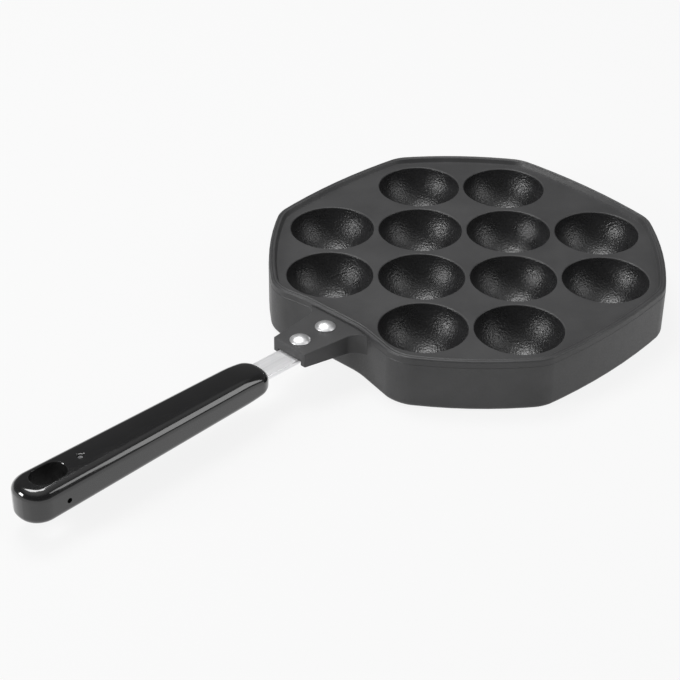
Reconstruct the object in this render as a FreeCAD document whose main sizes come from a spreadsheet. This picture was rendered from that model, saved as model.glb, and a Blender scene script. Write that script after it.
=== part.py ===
import FreeCAD, Part
import os
import Sketcher

# Takoyaki pan: a cast pan with twelve half-ball cavities, a flat strap riveted under its lug and a
# moulded grip on the strap. Millimetres, Z up. The origin is the middle of the cavity grid, in the
# plane that the pan stands on. X runs along the long rows of cavities.

Vector = FreeCAD.Vector
CUT_MARGIN = 1.0  # how far a cut runs past the face it leaves through
START, END, CENTRE = 1, 2, 3  # the points of a sketched side

sizes = {
    # cavities
    "cavity_radius": 20.0,
    "cavity_depth": 19.5,
    "cavity_lip": 0.6,
    "cavity_floor": 3.9,  # metal under a cavity
    "cup_wall": 4.3,
    "web_x": 2.4,  # between neighbours in a row
    "web_y": 3.35,  # between rows
    # pan outline, at the outer wall
    "border_x": 9.2,  # outermost cavity to the middle of the left or right wall
    "border_y": 10.175,
    "corner_back_x": 9.1,  # how far inside the row of two's outer side the front and back walls end
    "corner_back_y": 8.575,
    "wall_bow": 3.0,  # each wall bulges this much over its length
    "corner_round": 17.0,
    # wall set back behind the lug
    "set_back_left": 30.7,  # from the left wall to the middle of the set-back flat
    "set_back_front": 37.55,
    "set_back_run_x": 10.4,  # from that middle to the flat's ends
    "set_back_run_y": 9.35,
    "set_back_round": 25.0,
    "left_inset": 3.6,  # where the left wall ends, from its own middle and from the front wall's
    "left_from_front": 58.0,
    "front_inset": 3.3,  # where the front wall ends, from its own middle and from the left wall's
    "front_from_left": 59.0,
    # pan heights and walls
    "rim_rise": 2.2,
    "rim_width": 3.9,
    "rim_slope": 1.0,
    "rim_slope_depth": 1.8,
    "rim_outer_round": 0.9,
    "plate_thickness": 3.6,
    "skirt_wall": 4.4,
    "base_round": 2.4,
    # handle direction, from +X towards +Y; places along it are measured from the set-back wall
    "handle_angle": 226.0,
    # lug and the channel under it
    "lug_over_plate": 0.4,
    "lug_bury": 1.6,  # how far it starts inside the wall
    "lug_length": 30.1,
    "lug_root_half": 20.0,
    "lug_root_skew": 0.8,  # its right flare starts this much further out
    "lug_root_thickness": 9.4,
    "lug_end_half": 9.9,
    "lug_end_thickness": 6.6,
    "lug_flare": 7.3,
    "lug_edge_round": 0.5,
    "lug_slope_start": 2.4,
    "channel_roof": 4.7,  # metal over the channel
    "channel_gap": 1.4,  # each side of the strap
    "channel_end_gap": 0.5,
    # strap
    "strap_at": 2.9,
    "strap_width": 11.8,
    "strap_thickness": 2.0,
    "strap_corner": 2.5,
    "strap_edge": 0.3,
    # rivets
    "rivet_inner_at": 8.1,
    "rivet_outer_at": 23.5,
    "shank_radius": 2.5,
    "shank_gap": 0.05,
    "head_radius": 4.6,
    "head_height": 2.0,
    "head_edge": 0.45,
    "tail_radius": 3.9,
    "tail_height": 1.3,
    "tail_edge": 0.4,
    # grip
    "grip_at": 46.4,
    "grip_length": 128.5,
    "grip_over_plate": 0.6,
    "grip_start_width": 17.4,
    "grip_end_width": 20.8,
    "grip_start_height": 12.4,
    "grip_end_height": 15.6,
    "nose_length": 17.0,
    "nose_drop": 2.6,
    "nose_lift": 1.6,
    "nose_round": 7.0,
    "end_round": 8.0,
    "grip_top_round": 3.8,
    "grip_bottom_round": 3.2,
    "tang_gap": 0.1,  # all round the strap inside the grip
    # hanging hole and the small hole in the grip's side, measured back from the grip's end
    "hang_from_end": 7.5,
    "hang_length": 16.0,
    "hang_width": 11.0,
    "hang_round": 0.8,
    "side_hole_radius": 1.15,
    "side_hole_from_end": 17.5,
    "side_hole_below_top": 9.1,
    "side_hole_depth": 3.0,
    # pin through the grip and the strap's end
    "strap_short_of_hang": 4.0,
    "pin_from_strap_end": 3.8,
    "pin_radius": 1.2,
    "pin_gap": 0.05,
    "pin_recess": 0.7,
    "pin_reach": 3.0,  # below the strap
    "pin_chamfer": 0.2,
    "dimple_radius": 2.15,
    "dimple_depth": 0.35,
}

doc = FreeCAD.newDocument("takoyaki_pan")
sheet = doc.addObject("Spreadsheet::Sheet", "Sizes")
for row, (word, value) in enumerate(sizes.items(), start=1):
    sheet.set(f"A{row}", word)
    sheet.set(f"B{row}", str(value))
    sheet.setAlias(f"B{row}", word)
doc.recompute()

# heights and places that follow from the sizes, as expressions
pitchX = "(2 * Sizes.cavity_radius + Sizes.web_x)"
pitchY = "(2 * Sizes.cavity_radius + Sizes.web_y)"
panHalfX = f"(1.5 * {pitchX} + Sizes.cavity_radius + Sizes.border_x)"
panHalfY = f"(1.5 * {pitchY} + Sizes.cavity_radius + Sizes.border_y)"
cornerX = f"({pitchX} / 2 + Sizes.cavity_radius - Sizes.corner_back_x)"
cornerY = f"({pitchY} / 2 + Sizes.cavity_radius - Sizes.corner_back_y)"
plateTop = "(Sizes.cavity_depth + Sizes.cavity_floor)"
plateUnder = f"({plateTop} - Sizes.plate_thickness)"
rimTop = f"({plateTop} + Sizes.rim_rise)"
ballRadius = "((Sizes.cavity_radius^2 + Sizes.cavity_depth^2) / (2 * Sizes.cavity_depth))"
setBackX = f"({panHalfX} - Sizes.set_back_left)"
setBackY = f"({panHalfY} - Sizes.set_back_front)"
handleRoot = f"(-cos(Sizes.handle_angle) * {setBackX} - sin(Sizes.handle_angle) * {setBackY})"
lugTop = f"({plateTop} + Sizes.lug_over_plate)"
lugEnd = f"({handleRoot} + Sizes.lug_length)"
strapTop = f"({lugTop} - Sizes.channel_roof)"
strapUnder = f"({strapTop} - Sizes.strap_thickness)"
strapStart = f"({handleRoot} + Sizes.strap_at)"
gripTop = f"({plateTop} + Sizes.grip_over_plate)"
gripStart = f"({handleRoot} + Sizes.grip_at)"
gripEnd = f"({gripStart} + Sizes.grip_length)"
hangEnd = f"({gripEnd} - Sizes.hang_from_end)"
hangStart = f"({hangEnd} - Sizes.hang_length)"
strapEnd = f"({hangStart} - Sizes.strap_short_of_hang)"
pinPlace = f"({strapEnd} - Sizes.pin_from_strap_end)"
pinFoot = f"({strapUnder} - Sizes.pin_reach)"
rivetPlaces = {name: f"({handleRoot} + Sizes.{name}_at)" for name in ("rivet_inner", "rivet_outer")}


def newBody(name, turned=True):
    """Body whose label names its file. A turned body is modelled along X, out along the handle."""
    body = doc.addObject("PartDesign::Body", name)
    body.Label = name
    if turned:
        body.Placement = FreeCAD.Placement(Vector(), FreeCAD.Rotation(Vector(0, 0, 1), 1))
        body.setExpression("Placement.Rotation.Angle", "Sizes.handle_angle")
    return body


def newSketch(body, name, role, move=None, turned=False):
    """Sketch on an origin plane of its own body, moved off it by bound distances."""
    sketch = body.newObject("Sketcher::SketchObject", name)
    plane = [item for item in body.Origin.OriginFeatures if item.Role == role][0]
    sketch.AttachmentSupport = [(plane, "")]
    sketch.MapMode = "FlatFace"
    if turned:
        upright = {"XY_Plane": Vector(0, 0, 1), "XZ_Plane": Vector(0, 1, 0)}[role]
        sketch.AttachmentOffset = FreeCAD.Placement(Vector(), FreeCAD.Rotation(upright, 1))
        sketch.setExpression("AttachmentOffset.Rotation.Angle", "Sizes.handle_angle")
    for direction, distance in (move or {}).items():
        sketch.setExpression(f"AttachmentOffset.Base.{direction}", distance)
    return sketch


def bind(sketch, constraint, expression):
    index = sketch.addConstraint(constraint)
    sketch.setExpression(f"Constraints[{index}]", expression)


def placePoint(sketch, item, end, rough, across, up):
    """Hold a point at bound distances from the sketch's origin; 0 puts it on that axis."""
    for word, axis, guess, bound in (("DistanceX", -2, rough.x, across), ("DistanceY", -1, rough.y, up)):
        if bound == "0":
            sketch.addConstraint(Sketcher.Constraint("PointOnObject", item, end, axis))
        else:
            bind(sketch, Sketcher.Constraint(word, -1, 1, item, end, guess), bound)


def drawLoop(sketch, corners, bows=None):
    """Closed counterclockwise outline through corners (rough x, rough y, bound x, bound y).

    A corner with no bounds is left for other constraints. Sides are numbered by the corner they
    start at. bows lists those that are arcs, with a rough bulge, outwards, and a bound radius, or
    None where another constraint holds the arc.
    """
    bows = bows or {}
    count = len(corners)
    first = sketch.GeometryCount
    points = [Vector(x, y, 0) for x, y, across, up in corners]
    for side, start in enumerate(points):
        finish = points[(side + 1) % count]
        if side in bows:
            run = (finish - start).normalize()
            middle = (start + finish) * 0.5 + Vector(run.y, -run.x, 0) * bows[side][0]
            sketch.addGeometry(Part.Arc(start, middle, finish), False)
        else:
            sketch.addGeometry(Part.LineSegment(start, finish), False)
    # an arc always runs counterclockwise, so one that bulges inwards has its ends the other way round
    hollow = [side in bows and bows[side][0] < 0 for side in range(count)]
    starts = [END if inwards else START for inwards in hollow]
    ends = [START if inwards else END for inwards in hollow]
    for side in range(count):
        following = (side + 1) % count
        joined = (first + side, ends[side], first + following, starts[following])
        sketch.addConstraint(Sketcher.Constraint("Coincident", *joined))
    for side, (x, y, across, up) in enumerate(corners):
        if across:
            placePoint(sketch, first + side, starts[side], points[side], across, up)
    for side, (bulge, radius) in bows.items():
        if radius:
            rough = sketch.Geometry[first + side].Radius
            bind(sketch, Sketcher.Constraint("Radius", first + side, rough), radius)


def drawCircle(sketch, rough, across, bound):
    """Circle on the sketch's level axis."""
    item = sketch.addGeometry(Part.Circle(rough, Vector(0, 0, 1), 2), False)
    placePoint(sketch, item, CENTRE, rough, across, "0")
    bind(sketch, Sketcher.Constraint("Radius", item, 2), bound)


def feature(body, kind, name, values=None, **fixed):
    """Feature at the end of a body, with plain settings and with values bound to the sheet."""
    item = body.newObject("PartDesign::" + kind, name)
    for word, setting in fixed.items():
        setattr(item, word, setting)
    for word, expression in (values or {}).items():
        item.setExpression(word, expression)
    doc.recompute()
    body.Tip = item
    if "Invalid" in item.State or item.Shape.isNull():
        raise RuntimeError(f"{name} failed")
    return item


def dress(body, kind, name, base, isWanted, values, **fixed):
    """Fillet or chamfer on the edges of base that a test picks out."""
    edges = [f"Edge{i}" for i, edge in enumerate(base.Shape.Edges, start=1) if isWanted(edge)]
    if not edges:
        raise RuntimeError(f"{name} finds no edge")
    return feature(body, kind, name, values, Base=(base, edges), **fixed)


def near(one, other):
    return abs(one - other) < 0.01


def middleOf(edge):
    return edge.valueAt((edge.FirstParameter + edge.LastParameter) / 2)


def isLevel(edge, height):
    return near(edge.BoundBox.ZMin, height) and near(edge.BoundBox.ZMax, height)


def isUpright(edge):
    return edge.BoundBox.XLength + edge.BoundBox.YLength < 0.01


def isSharp(shape, edge):
    """Do the two faces at an edge meet at an angle?"""
    point = middleOf(edge)
    faces = shape.ancestorsOfType(edge, Part.Face)
    normals = [face.normalAt(*face.Surface.parameter(point)) for face in faces]
    return normals[0].getAngle(normals[1]) > 0.1


def drawPanOutline(sketch):
    """Seven bowed walls, and a wall that is set back behind the lug and runs smoothly into two others."""
    wallX = f"({panHalfX} - Sizes.wall_bow)"
    wallY = f"({panHalfY} - Sizes.wall_bow)"
    flatLeft = (f"-({setBackX} + Sizes.set_back_run_x)", f"-({setBackY} - Sizes.set_back_run_y)")
    flatRight = (f"-({setBackX} - Sizes.set_back_run_x)", f"-({setBackY} + Sizes.set_back_run_y)")
    leftEnd = (f"-({panHalfX} - Sizes.left_inset)", f"-({panHalfY} - Sizes.left_from_front)")
    frontEnd = (f"-({panHalfX} - Sizes.front_from_left)", f"-({panHalfY} - Sizes.front_inset)")
    corners = [
        (32, -92, cornerX, "-" + wallY),
        (90, -33, wallX, "-" + cornerY),
        (90, 33, wallX, cornerY),
        (32, 92, cornerX, wallY),
        (-32, 92, "-" + cornerX, wallY),
        (-90, 33, "-" + wallX, cornerY),
        (-89, -37, *leftEnd),
        (-76, -46, None, None),
        (-72.5, -48.3, *flatLeft),
        (-51.7, -67, *flatRight),
        (-48, -71, None, None),
        (-34, -92, *frontEnd),
    ]
    bowed = "(({0})^2 / 4 + Sizes.wall_bow^2) / (2 * Sizes.wall_bow)"
    short = bowed.format(f"sqrt(({wallX} - {cornerX})^2 + ({wallY} - {cornerY})^2)")
    frontal = bowed.format(f"2 * {cornerX}")
    lateral = bowed.format(f"2 * {cornerY}")
    radii = {0: short, 1: lateral, 2: short, 3: frontal, 4: short, 5: lateral, 11: frontal}
    bows = {side: (3, radius) for side, radius in radii.items()}
    hollows = {side: (-0.3, "Sizes.set_back_round") for side in (7, 9)}
    drawLoop(sketch, corners, {**bows, **hollows})
    for side in (6, 7, 8, 9):
        sketch.addConstraint(Sketcher.Constraint("Tangent", side, side + 1))


def roundCorners(body, base, name, inset):
    """Round the sharp upright edges of a wall that lies inset from the outer wall."""
    shape = base.Shape
    return dress(
        body,
        "Fillet",
        name,
        base,
        lambda edge: isUpright(edge) and isSharp(shape, edge),
        {"Radius": f"Sizes.corner_round - {inset}"},
    )


def insetOutline(body, outline, name, inset, height):
    binder = body.newObject("PartDesign::SubShapeBinder", name)
    binder.Support = [(outline, "")]
    binder.OffsetJoinType = "Intersection"
    binder.setExpression("Offset", f"-{inset}")
    binder.setExpression("Placement.Base.z", height)
    doc.recompute()
    return binder


def drawCup(sketch):
    """Right half of a cup about the sketch's upright axis, from its flat foot into the plate."""
    high = f"{plateTop} - Sizes.plate_thickness / 2"
    corners = [
        (0, 0, "0", "0"),
        (4.4, 0, None, None),
        (24, 21.6, None, None),
        (0, 21.6, "0", high),
    ]
    drawLoop(sketch, corners, {1: (5, f"{ballRadius} + Sizes.cup_wall")})
    sketch.addConstraint(Sketcher.Constraint("Horizontal", 0))
    sketch.addConstraint(Sketcher.Constraint("Horizontal", 2))
    placePoint(sketch, 1, CENTRE, Vector(0, 23.9, 0), "0", f"Sizes.cavity_floor + {ballRadius}")


def drawCavity(sketch):
    """Right half of a cavity about the sketch's upright axis, cut open past its mouth."""
    above = f"{plateTop} + {CUT_MARGIN}"
    corners = [
        (0, 3.9, "0", "Sizes.cavity_floor"),
        (20, 23.4, "Sizes.cavity_radius", plateTop),
        (20, 24.4, "Sizes.cavity_radius", above),
        (0, 24.4, "0", above),
    ]
    drawLoop(sketch, corners, {0: (5.8, ballRadius)})


# rows of cavities from front to back: how many, and how many row pitches from the middle
rows = {"front_row": (2, -1.5), "second_row": (4, -0.5), "third_row": (4, 0.5), "back_row": (2, 1.5)}


def spreadRound(body, kind, name, draw):
    """Turn a sketch round its upright axis at the first place of each row and repeat it along X."""
    alongX = [item for item in body.Origin.OriginFeatures if item.Role == "X_Axis"][0]
    for row, (count, steps) in rows.items():
        first = {"x": f"{-(count - 1) / 2} * {pitchX}", "z": f"{-steps} * {pitchY}"}
        sketch = newSketch(body, f"{name}_{row}_profile", "XZ_Plane", first)
        draw(sketch)
        one = feature(body, kind, f"{name}_{row}_first", Profile=sketch, ReferenceAxis=(sketch, ["V_Axis"]))
        every = feature(
            body,
            "LinearPattern",
            f"{name}_{row}",
            {"Offset": pitchX},
            Originals=[one],
            Direction=(alongX, [""]),
            Mode="Spacing",
            Occurrences=count,
        )
    return every


def addLug(body):
    """Lug with flared roots, thicker towards the pan."""
    start = f"({handleRoot} - Sizes.lug_bury)"
    plan = newSketch(body, "lug_plan", "XY_Plane", {"z": lugTop}, turned=True)
    corners = [
        (83, -20, start, "-Sizes.lug_root_half"),
        (84.6, -20, handleRoot, "-Sizes.lug_root_half"),
        (91, -13, None, None),
        (115, -10, lugEnd, "-Sizes.lug_end_half"),
        (115, 10, lugEnd, "Sizes.lug_end_half"),
        (91, 13, None, None),
        (85.4, 20, f"{handleRoot} + Sizes.lug_root_skew", "Sizes.lug_root_half"),
        (83, 20, start, "Sizes.lug_root_half"),
    ]
    drawLoop(plan, corners, {1: (-2, "Sizes.lug_flare"), 5: (-2, "Sizes.lug_flare")})
    # each flare leaves the wall squarely and runs smoothly into the lug's side
    plan.addConstraint(Sketcher.Constraint("Horizontal", 1, END, 1, CENTRE))
    plan.addConstraint(Sketcher.Constraint("Tangent", 1, 2))
    plan.addConstraint(Sketcher.Constraint("Horizontal", 5, START, 5, CENTRE))
    plan.addConstraint(Sketcher.Constraint("Tangent", 5, 4))
    feature(body, "Pad", "lug", {"Length": "Sizes.lug_root_thickness"}, Profile=plan, Reversed=True)

    slope = newSketch(body, "lug_underside", "XZ_Plane", turned=True)
    level = f"{lugTop} - Sizes.lug_root_thickness"
    endLevel = f"{lugTop} - Sizes.lug_end_thickness"
    slopeStart = f"{handleRoot} + Sizes.lug_slope_start"
    past = f"{lugEnd} + {CUT_MARGIN}"
    corners = [
        (87, 14.4, slopeStart, level),
        (87, 13.4, slopeStart, f"{level} - {CUT_MARGIN}"),
        (116, 13.4, past, f"{level} - {CUT_MARGIN}"),
        (116, 17.2, past, endLevel),
        (115, 17.2, lugEnd, endLevel),
    ]
    drawLoop(slope, corners)
    across = {"Length": f"2 * (Sizes.lug_root_half + {CUT_MARGIN})"}
    lug = feature(body, "Pocket", "lug_slope", across, Profile=slope, SideType="Symmetric")

    end = plan.Geometry[3].StartPoint.x

    def isEndTop(edge):
        return isLevel(edge, plan.Placement.Base.z) and near(alongHandle(middleOf(edge)).x, end)

    return dress(body, "Fillet", "lug_edge", lug, isEndTop, {"Radius": "Sizes.lug_edge_round"})


def alongHandle(point):
    """A point in the handle's own directions: outwards, sideways, up."""
    return FreeCAD.Rotation(Vector(0, 0, 1), -sizes["handle_angle"]).multVec(point)


def cutChannel(body):
    """Channel under the lug for the strap, open at the lug's end, and the rivet holes above it."""
    plan = newSketch(body, "channel_plan", "XY_Plane", {"z": strapTop}, turned=True)
    half = "(Sizes.strap_width / 2 + Sizes.channel_gap)"
    start = f"{strapStart} - Sizes.channel_end_gap"
    past = f"{lugEnd} + {CUT_MARGIN}"
    corners = [
        (87, -7.3, start, "-" + half),
        (116, -7.3, past, "-" + half),
        (116, 7.3, past, half),
        (87, 7.3, start, half),
    ]
    drawLoop(plan, corners)
    feature(body, "Pocket", "channel", {"Length": "Sizes.lug_root_thickness"}, Profile=plan)

    holes = newSketch(body, "rivet_holes_plan", "XY_Plane", {"z": lugTop}, turned=True)
    for rough, place in zip((92.7, 108.1), rivetPlaces.values()):
        drawCircle(holes, Vector(rough, 0, 0), place, "Sizes.shank_radius + Sizes.shank_gap")
    return feature(body, "Pocket", "rivet_holes", {"Length": "Sizes.lug_root_thickness"}, Profile=holes)


def makePan():
    body = newBody("pan_body", turned=False)
    outline = newSketch(body, "outline", "XY_Plane")
    drawPanOutline(outline)
    block = feature(body, "Pad", "block", {"Length": rimTop}, Profile=outline)
    top = block.Length.Value
    plateHeight = top - sizes["rim_rise"]
    rounded = roundCorners(body, block, "corners", "0")
    rimRound = {"Radius": "Sizes.rim_outer_round"}
    rim = dress(body, "Fillet", "rim_edge", rounded, lambda edge: isLevel(edge, top), rimRound)
    dress(body, "Fillet", "base_edge", rim, lambda edge: isLevel(edge, 0), {"Radius": "Sizes.base_round"})

    # plate recess inside the rim, with a sloping inner side
    inner = insetOutline(body, outline, "recess_outline", "Sizes.rim_width", rimTop)
    recess = feature(body, "Pocket", "plate_recess", {"Length": "Sizes.rim_rise"}, Profile=inner)
    recess = roundCorners(body, recess, "recess_corners", "Sizes.rim_width")
    crest = [face for face in recess.Shape.Faces if isLevel(face, top)][0]
    inside = [edge for wire in crest.Wires if not wire.isSame(crest.OuterWire) for edge in wire.Edges]
    dress(
        body,
        "Chamfer",
        "rim_slope",
        recess,
        lambda edge: any(edge.isSame(other) for other in inside),
        {"Size": "Sizes.rim_slope", "Size2": "Sizes.rim_slope_depth"},
        ChamferType="Two distances",
    )

    # hollow underside, then the cups in it
    under = insetOutline(body, outline, "skirt_outline", "Sizes.skirt_wall", "0")
    hollow = feature(body, "Pocket", "underside", {"Length": plateUnder}, Profile=under, Reversed=True)
    roundCorners(body, hollow, "skirt_corners", "Sizes.skirt_wall")
    spreadRound(body, "Revolution", "cup", drawCup)
    addLug(body)
    cutChannel(body)
    cavities = spreadRound(body, "Groove", "cavity", drawCavity)

    mouth = sizes["cavity_radius"]

    def isMouth(edge):
        if not isLevel(edge, plateHeight):
            return False
        return isinstance(edge.Curve, Part.Circle) and near(edge.Curve.Radius, mouth)

    dress(body, "Fillet", "cavity_lips", cavities, isMouth, {"Radius": "Sizes.cavity_lip"})
    return body


def makeStrap():
    """Flat steel bar, from the channel under the lug to the hanging hole."""
    body = newBody("handle_strap")
    plan = newSketch(body, "strap_plan", "XY_Plane", {"z": strapUnder})
    half = "(Sizes.strap_width / 2)"
    corners = [
        (87.5, -5.9, strapStart, "-" + half),
        (232, -5.9, strapEnd, "-" + half),
        (232, 5.9, strapEnd, half),
        (87.5, 5.9, strapStart, half),
    ]
    drawLoop(plan, corners)
    bar = feature(body, "Pad", "bar", {"Length": "Sizes.strap_thickness"}, Profile=plan)
    rounded = dress(body, "Fillet", "strap_corners", bar, isUpright, {"Radius": "Sizes.strap_corner"})
    heights = (bar.Shape.BoundBox.ZMin, bar.Shape.BoundBox.ZMax)
    dress(
        body,
        "Fillet",
        "strap_edges",
        rounded,
        lambda edge: any(isLevel(edge, height) for height in heights),
        {"Radius": "Sizes.strap_edge"},
    )
    holes = newSketch(body, "strap_holes_plan", "XY_Plane", {"z": strapTop})
    for rough, place in zip((92.7, 108.1), rivetPlaces.values()):
        drawCircle(holes, Vector(rough, 0, 0), place, "Sizes.shank_radius + Sizes.shank_gap")
    drawCircle(holes, Vector(228, 0, 0), pinPlace, "Sizes.pin_radius + Sizes.pin_gap")
    feature(body, "Pocket", "strap_holes", {"Length": f"Sizes.strap_thickness + {CUT_MARGIN}"}, Profile=holes)
    return body


def makeRivet(name, place):
    """Rivet with a domed head on the lug and a flatter tail under the strap."""
    body = newBody(name)
    half = newSketch(body, name + "_profile", "XZ_Plane", {"x": place})
    rise = "(Sizes.{0}_height - Sizes.{0}_edge)"
    cap = f"((Sizes.{{0}}_radius)^2 + {rise}^2) / (2 * {rise})"
    corners = [
        (0, 15.8, "0", f"{strapUnder} - Sizes.tail_height"),
        (3.9, 16.7, "Sizes.tail_radius", f"{strapUnder} - Sizes.tail_edge"),
        (3.9, 17.1, "Sizes.tail_radius", strapUnder),
        (2.5, 17.1, "Sizes.shank_radius", strapUnder),
        (2.5, 23.8, "Sizes.shank_radius", lugTop),
        (4.6, 23.8, "Sizes.head_radius", lugTop),
        (4.6, 24.25, "Sizes.head_radius", f"{lugTop} + Sizes.head_edge"),
        (0, 25.8, "0", f"{lugTop} + Sizes.head_height"),
    ]
    drawLoop(half, corners, {0: (0.3, cap.format("tail")), 6: (0.3, cap.format("head"))})
    feature(body, "Revolution", name + "_turned", Profile=half, ReferenceAxis=(half, ["V_Axis"]))
    return body


def cutPlan(body, name, corners):
    """Cut away what lies outside a plan outline."""
    plan = newSketch(body, name + "_plan", "XY_Plane", {"z": f"{gripTop} + {CUT_MARGIN}"})
    drawLoop(plan, corners)
    clear = "Sizes.grip_end_width"
    around = [
        (110, -21, f"{gripStart} - {clear}", "-" + clear),
        (280, -21, f"{gripEnd} + {clear}", "-" + clear),
        (280, 21, f"{gripEnd} + {clear}", clear),
        (110, 21, f"{gripStart} - {clear}", clear),
    ]
    drawLoop(plan, around)
    deep = f"Sizes.grip_end_height + {2 * CUT_MARGIN}"
    return feature(body, "Pocket", name, {"Length": deep}, Profile=plan)


def makeGrip():
    """Moulded grip: wider and deeper towards its end, with a nose that falls away over the strap."""
    body = newBody("handle_grip")
    side = newSketch(body, "grip_side", "XZ_Plane")
    noseEnd = f"({gripStart} + Sizes.nose_length)"
    startLevel = f"({gripTop} - Sizes.grip_start_height)"
    endLevel = f"({gripTop} - Sizes.grip_end_height)"
    noseLevel = f"({startLevel} + ({endLevel} - {startLevel}) * Sizes.nose_length / Sizes.grip_length)"
    noseUnder = f"({startLevel} + Sizes.nose_lift)"
    fall = "((Sizes.nose_length^2 + {0}^2) / (2 * {0}))"
    lift = f"({noseUnder} - {noseLevel})"
    corners = [
        (131, 13.2, gripStart, noseUnder),
        (148, 11.2, noseEnd, noseLevel),
        (259.5, 8.4, gripEnd, endLevel),
        (259.5, 24, gripEnd, gripTop),
        (148, 24, noseEnd, gripTop),
        (131, 21.4, gripStart, f"{gripTop} - Sizes.nose_drop"),
    ]
    drawLoop(side, corners, {0: (0.5, fall.format(lift)), 4: (0.5, fall.format("Sizes.nose_drop"))})
    feature(body, "Pad", "grip_block", {"Length": "Sizes.grip_end_width"}, Profile=side, SideType="Symmetric")
    half = "Sizes.grip_{0}_width / 2"
    trimmed = cutPlan(
        body,
        "grip_sides",
        [
            (131, -8.7, gripStart, "-" + half.format("start")),
            (259.5, -10.4, gripEnd, "-" + half.format("end")),
            (259.5, 10.4, gripEnd, half.format("end")),
            (131, 8.7, gripStart, half.format("start")),
        ],
    )
    box = trimmed.Shape.BoundBox
    middle = (box.ZMin + box.ZMax) / 2
    nose = dress(
        body,
        "Fillet",
        "nose_corners",
        trimmed,
        lambda edge: isUpright(edge) and near(edge.BoundBox.XMin, box.XMin),
        {"Radius": "Sizes.nose_round"},
    )
    rounded = dress(
        body,
        "Fillet",
        "end_corners",
        nose,
        lambda edge: isUpright(edge) and near(edge.BoundBox.XMin, box.XMax),
        {"Radius": "Sizes.end_round"},
    )
    top = dress(
        body,
        "Fillet",
        "grip_top_edge",
        rounded,
        lambda edge: isLevel(edge, box.ZMax) and edge.BoundBox.XLength > 50,
        {"Radius": "Sizes.grip_top_round"},
    )
    dress(
        body,
        "Fillet",
        "grip_bottom_edge",
        top,
        lambda edge: edge.BoundBox.XLength > 50 and edge.BoundBox.ZMax < middle,
        {"Radius": "Sizes.grip_bottom_round"},
    )
    cutGripHoles(body)
    return body


def cutGripHoles(body):
    """Slot for the strap, hanging hole, pin hole with its dimple, and the small hole in the side."""
    slot = newSketch(body, "tang_plan", "XY_Plane", {"z": f"{strapTop} + Sizes.tang_gap"})
    half = "(Sizes.strap_width / 2 + Sizes.tang_gap)"
    slotEnd = f"{strapEnd} + Sizes.tang_gap"
    mouth = f"{gripStart} - {CUT_MARGIN}"
    corners = [
        (130, -6, mouth, "-" + half),
        (232.1, -6, slotEnd, "-" + half),
        (232.1, 6, slotEnd, half),
        (130, 6, mouth, half),
    ]
    drawLoop(slot, corners)
    slotHeight = "Sizes.strap_thickness + 2 * Sizes.tang_gap"
    feature(body, "Pocket", "tang_slot", {"Length": slotHeight}, Profile=slot)

    hang = newSketch(body, "hang_plan", "XY_Plane", {"z": gripTop})
    radius = "(Sizes.hang_width / 2)"
    inner = f"({hangStart} + {radius})"
    outer = f"({hangEnd} - {radius})"
    corners = [
        (241.5, -5.5, inner, "-" + radius),
        (246.5, -5.5, outer, "-" + radius),
        (246.5, 5.5, outer, radius),
        (241.5, 5.5, inner, radius),
    ]
    drawLoop(hang, corners, {1: (5.4, None), 3: (5.4, None)})
    for side, rough, place in ((1, 246.5, outer), (3, 241.5, inner)):
        bind(hang, Sketcher.Constraint("DistanceX", -1, 1, side, CENTRE, rough), place)
    hole = feature(body, "Pocket", "hang_hole", {"Length": "2 * Sizes.grip_end_height"}, Profile=hang)
    centre = (hang.Geometry[1].Center + hang.Geometry[3].Center) * 0.5
    reach = (sizes["hang_length"] / 2 + 0.1, sizes["hang_width"] / 2 + 0.1)

    def isHangRim(edge):
        box = edge.BoundBox
        inside = box.XMin > centre.x - reach[0] and box.XMax < centre.x + reach[0]
        return inside and box.YMin > -reach[1] and box.YMax < reach[1] and not isUpright(edge)

    dress(body, "Fillet", "hang_rims", hole, isHangRim, {"Radius": "Sizes.hang_round"})

    pin = newSketch(body, "pin_hole_plan", "XY_Plane", {"z": gripTop})
    drawCircle(pin, Vector(228.2, 0, 0), pinPlace, "Sizes.pin_radius + Sizes.pin_gap")
    feature(body, "Pocket", "pin_hole", {"Length": f"{gripTop} - {pinFoot}"}, Profile=pin)
    dimple = newSketch(body, "dimple_plan", "XY_Plane", {"z": gripTop})
    drawCircle(dimple, Vector(228.2, 0, 0), pinPlace, "Sizes.dimple_radius")
    feature(body, "Pocket", "dimple", {"Length": "Sizes.dimple_depth"}, Profile=dimple)

    taper = "(Sizes.grip_end_width - Sizes.grip_start_width)"
    width = f"(Sizes.grip_end_width - {taper} * Sizes.side_hole_from_end / Sizes.grip_length)"
    bottom = f"{width} / 2 - Sizes.side_hole_depth"
    small = newSketch(body, "side_hole_face", "XZ_Plane", {"z": f"-({bottom})"})
    item = small.addGeometry(Part.Circle(Vector(242, 14.9, 0), Vector(0, 0, 1), 1.15), False)
    across = f"{gripEnd} - Sizes.side_hole_from_end"
    placePoint(small, item, CENTRE, Vector(242, 14.9, 0), across, f"{gripTop} - Sizes.side_hole_below_top")
    bind(small, Sketcher.Constraint("Radius", item, 1.15), "Sizes.side_hole_radius")
    feature(body, "Pocket", "side_hole", {"Length": f"Sizes.side_hole_depth + {CUT_MARGIN}"}, Profile=small)


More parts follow.
